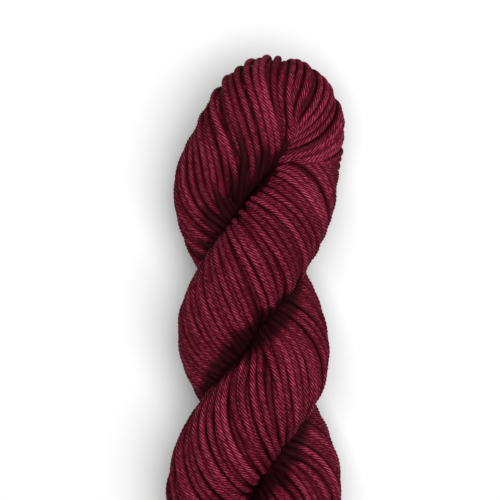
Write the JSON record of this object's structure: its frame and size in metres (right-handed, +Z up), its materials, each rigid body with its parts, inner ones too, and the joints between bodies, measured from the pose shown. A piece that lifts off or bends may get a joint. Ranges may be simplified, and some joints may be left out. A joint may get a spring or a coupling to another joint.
{
  "type": "hank of yarn",
  "caption": "Thick twisted hank of plied burgundy knitting yarn, two strands laid round each other with a round fold at either end, lying flat.",
  "frame": {"origin": "on the table, under the middle of the hank's box", "axes": "+Y along the hank towards the fold that shows, +Z up from the table, +X to the right seen from above"},
  "size_m": [0.0642, 0.2454, 0.0569],
  "materials": {
    "yarn": "soft plied wool with a slight sheen"
  },
  "bodies": {
    "root": {"hank": "yarn"}
  },
  "joints": []
}
